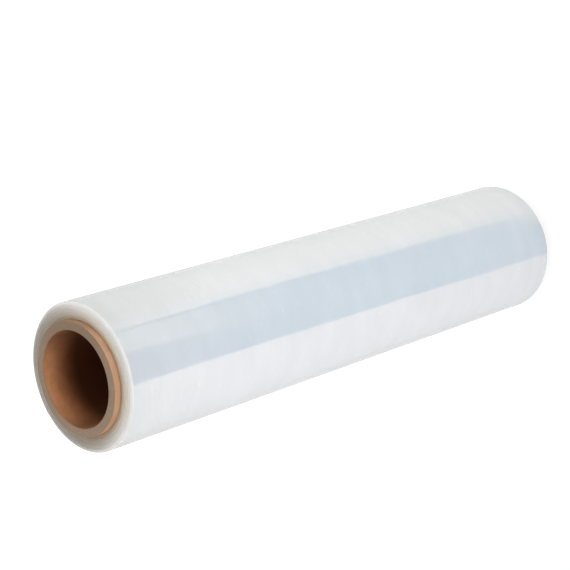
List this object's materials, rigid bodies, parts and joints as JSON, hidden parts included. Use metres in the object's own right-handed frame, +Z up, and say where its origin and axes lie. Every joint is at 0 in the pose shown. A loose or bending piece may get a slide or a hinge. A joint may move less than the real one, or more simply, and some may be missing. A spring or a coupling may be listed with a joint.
{
  "type": "body wrap film roll",
  "caption": "Long roll of clear film wound tight on a brown paperboard core that stands a little out of the film at each end.",
  "frame": {"origin": "middle of the core's lower cut end, on which the roll stands", "axes": "+Z up along the roll's axis; +X is the side that faces up when the roll lies as pictured"},
  "size_m": [0.1159, 0.1161, 0.5196],
  "materials": {
    "paperboard": "kraft liner on a spiral-wound tube, cut ends bare grey-brown board",
    "wound_film": "glossy clear film that looks milky white where hundreds of turns lie on each other"
  },
  "bodies": {
    "root": {"paper_core": "paperboard", "film_roll": "wound_film"}
  },
  "joints": []
}
